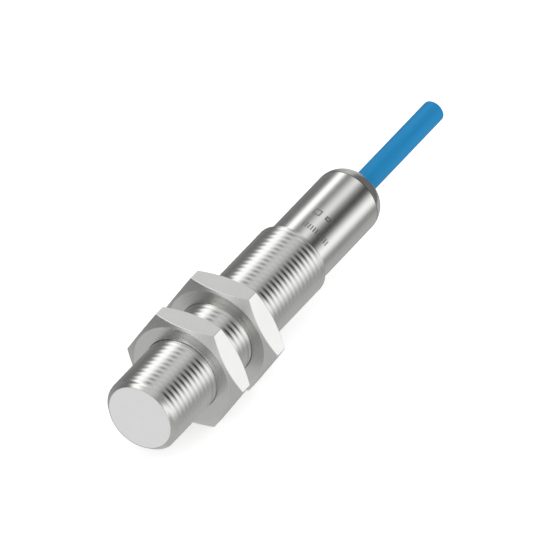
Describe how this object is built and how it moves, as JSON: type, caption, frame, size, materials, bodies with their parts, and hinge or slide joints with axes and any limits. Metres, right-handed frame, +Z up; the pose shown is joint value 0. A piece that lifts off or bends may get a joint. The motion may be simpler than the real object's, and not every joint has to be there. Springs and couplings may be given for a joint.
{
  "type": "inductive proximity sensor",
  "caption": "Threaded cylindrical inductive proximity sensor with two hexagon fixing nuts, a flush plastic sensing face and a blue cable stub.",
  "frame": {"origin": "centre of the sensing face", "axes": "+Y along the sensor's axis, from the sensing face to the cable; +Z up, square to the nuts' top flats"},
  "size_m": [0.0196, 0.0835, 0.017],
  "materials": {
    "turned_steel": "turned and polished stainless steel with fine tool lines round it",
    "nut_steel": "satin flats, finely turned chamfers",
    "face_plastic": "matte, light neutral grey",
    "black_rubber": "moulded",
    "ferrite": "sintered, matte dark grey",
    "white_plastic": "moulded, off-white",
    "copper": null,
    "black_plastic": "moulded black",
    "board_laminate": "glass laminate with green solder mask",
    "white_ceramic": "matte alumina",
    "tan_ceramic": "sintered, satin",
    "cast_resin": "cast, glossy dark brown",
    "crimp_brass": "drawn brass tube, crimped",
    "blue_jacket": "extruded blue jacket, satin",
    "brown_insulation": "extruded, glossy",
    "blue_insulation": "extruded, glossy"
  },
  "bodies": {
    "sensor": {"threaded_housing": "turned_steel", "sensing_cap": "face_plastic", "cap_seal_ring": "black_rubber", "ferrite_core": "ferrite", "coil_bobbin": "white_plastic", "coil_winding": "copper", "coil_lead_1": "copper", "coil_lead_2": "copper", "core_carrier": "black_plastic", "circuit_board": "board_laminate", "oscillator_ic": "black_plastic", "trim_resistor": "white_ceramic", "resistor_1": "black_plastic", "capacitor_1": "tan_ceramic", "output_transistor": "black_plastic", "capacitor_2": "tan_ceramic", "resistor_2": "black_plastic", "resistor_3": "black_plastic", "capacitor_3": "tan_ceramic", "protection_diode": "black_plastic", "potting_resin": "cast_resin", "rear_cap": "turned_steel", "cable_grommet": "black_rubber", "crimp_ring": "crimp_brass", "cable_jacket": "blue_jacket", "brown_core": "brown_insulation", "blue_core": "blue_insulation", "brown_conductor": "copper", "blue_conductor": "copper"},
    "front_nut": {"front_nut": "nut_steel"},
    "rear_nut": {"rear_nut": "nut_steel"}
  },
  "joints": [
    {"name": "front_nut_travel", "type": "slide", "parent": "sensor", "child": "front_nut", "axis": [0, 1, 0], "range_m": [-0.0106, 0.0028]},
    {"name": "rear_nut_travel", "type": "slide", "parent": "sensor", "child": "rear_nut", "axis": [0, 1, 0], "range_m": [-0.0028, 0.0169]}
  ]
}
